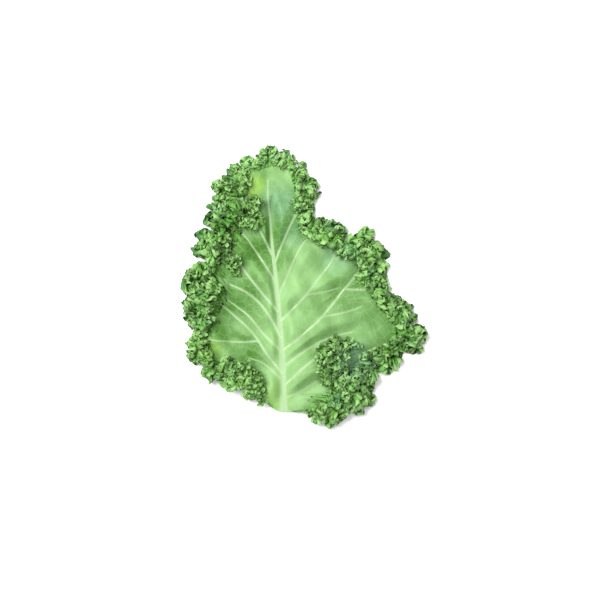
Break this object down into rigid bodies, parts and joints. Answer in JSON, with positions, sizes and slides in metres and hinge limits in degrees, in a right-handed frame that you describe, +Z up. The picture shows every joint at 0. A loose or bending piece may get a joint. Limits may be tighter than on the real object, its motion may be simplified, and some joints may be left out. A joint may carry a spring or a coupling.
{
  "type": "curly kale leaf",
  "caption": "Single curly kale leaf with a thick midrib, branching side veins and a deeply frilled margin, lying face up with its cut end bare.",
  "frame": {"origin": "on the surface that the leaf lies on, under the middle of the leaf's box", "axes": "+Y along the midrib from the cut end to the tip, +X to the right seen from above with the tip away, +Z up through the leaf's face"},
  "size_m": [0.209, 0.2402, 0.0244],
  "materials": {
    "leaf": "soft satin leaf, bright green with paler veins and a faint bluish bloom on the folds"
  },
  "bodies": {
    "root": {"kale_leaf": "leaf"}
  },
  "joints": []
}
